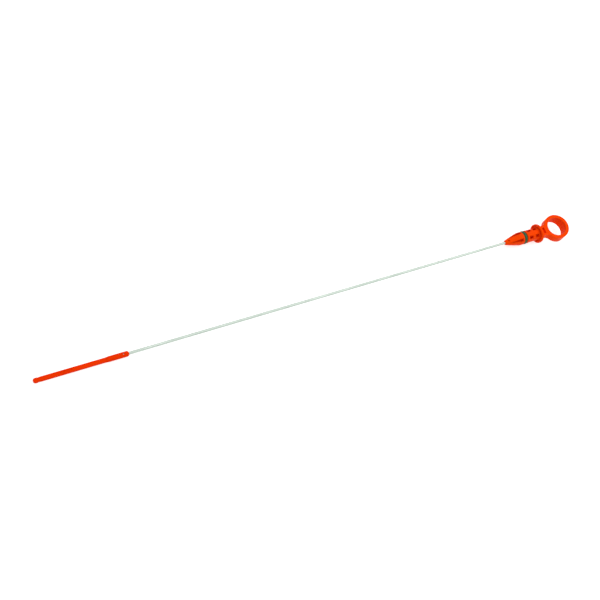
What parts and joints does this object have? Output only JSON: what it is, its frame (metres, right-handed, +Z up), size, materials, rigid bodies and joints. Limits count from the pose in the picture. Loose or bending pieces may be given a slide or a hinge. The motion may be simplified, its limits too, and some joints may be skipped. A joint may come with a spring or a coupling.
{
  "type": "engine oil dipstick",
  "caption": "Oil dipstick: moulded finger-ring handle with sealing plug, thin steel rod and moulded level gauge with hatched field.",
  "frame": {"origin": "middle of the bounding box, on the surface that the dipstick lies on", "axes": "+X along the stick's length, from the gauge towards the finger ring; +Z up; +Y across. The stick leans by about 0.9 degrees, because the flange's rim and the gauge's free end rest on the surface"},
  "size_m": [0.5914, 0.0288, 0.0212],
  "materials": {
    "handle_plastic": "moulded, satin, orange-red",
    "seal_rubber": "smooth green oil-proof rubber",
    "rod_steel": "bright drawn wire",
    "gauge_plastic": "moulded, satin, orange-red"
  },
  "bodies": {
    "root": {"handle": "handle_plastic", "seal_ring": "seal_rubber", "rod": "rod_steel", "gauge": "gauge_plastic"}
  },
  "joints": []
}
